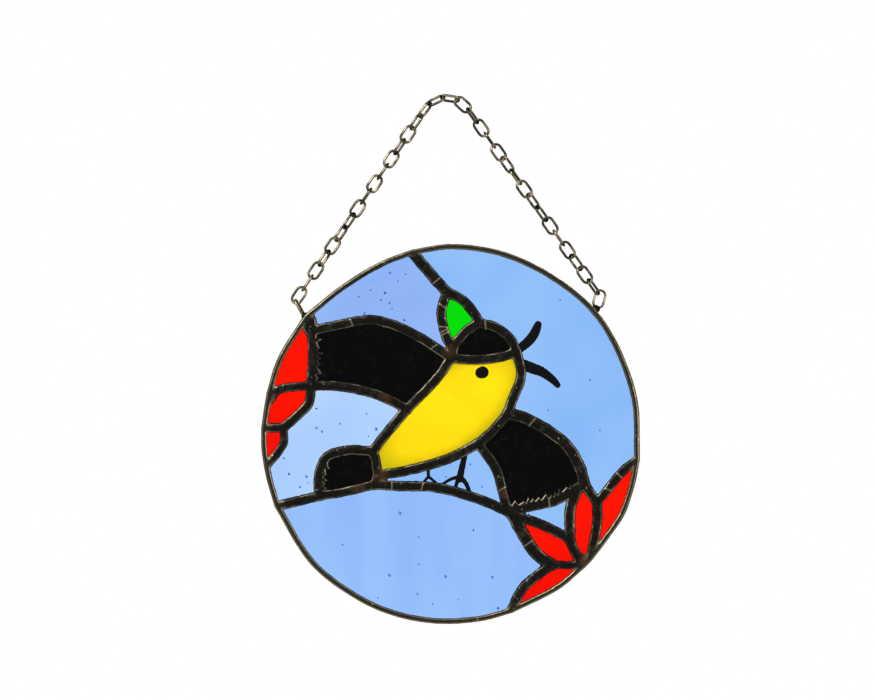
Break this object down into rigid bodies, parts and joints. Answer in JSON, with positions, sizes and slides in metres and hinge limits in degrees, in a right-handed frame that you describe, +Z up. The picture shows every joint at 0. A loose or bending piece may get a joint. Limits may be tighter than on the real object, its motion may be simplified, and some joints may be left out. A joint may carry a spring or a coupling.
{
  "type": "suncatcher",
  "caption": "Round stained glass suncatcher of a yellow and black bird on a branch among red flowers, on a chain.",
  "frame": {"origin": "underside of the chain's crest, where it hangs on a hook", "axes": "+Z up; the panel stands in the XZ plane with its front towards -Y, and +X is the viewer's right"},
  "size_m": [0.1512, 0.0059, 0.2108],
  "materials": {
    "blue_glass": "clear with seeds",
    "red_glass": "clear",
    "green_glass": "clear",
    "yellow_glass": "opal",
    "black_glass": "opaque gloss",
    "solder": "dark patina, satin",
    "wire": "dark antique"
  },
  "bodies": {
    "root": {"sky_upper_left": "blue_glass", "sky_right": "blue_glass", "sky_left": "blue_glass", "sky_under_body": "blue_glass", "sky_gap": "blue_glass", "sky_bottom": "blue_glass", "petal_left_upper": "red_glass", "petal_left_middle": "red_glass", "petal_left_lower": "red_glass", "petal_right_a": "red_glass", "petal_right_b": "red_glass", "petal_right_c": "red_glass", "petal_right_d": "red_glass", "leaf_green": "green_glass", "body_yellow": "yellow_glass", "head_cap": "black_glass", "wing_left": "black_glass", "wing_right": "black_glass", "tail": "black_glass", "solder_net": "solder", "ring_left": "wire", "ring_right": "wire", "link_01": "wire", "link_02": "wire", "link_03": "wire", "link_04": "wire", "link_05": "wire", "link_06": "wire", "link_07": "wire", "link_08": "wire", "link_09": "wire", "link_10": "wire", "link_11": "wire", "link_12": "wire", "link_13": "wire", "link_14": "wire", "link_15": "wire", "link_16": "wire", "link_17": "wire", "link_18": "wire", "link_19": "wire", "link_20": "wire", "link_21": "wire", "link_22": "wire", "link_23": "wire", "link_24": "wire", "link_25": "wire", "link_26": "wire", "link_27": "wire", "link_28": "wire", "link_29": "wire", "link_30": "wire", "link_31": "wire", "link_32": "wire", "link_33": "wire", "link_34": "wire"}
  },
  "joints": []
}
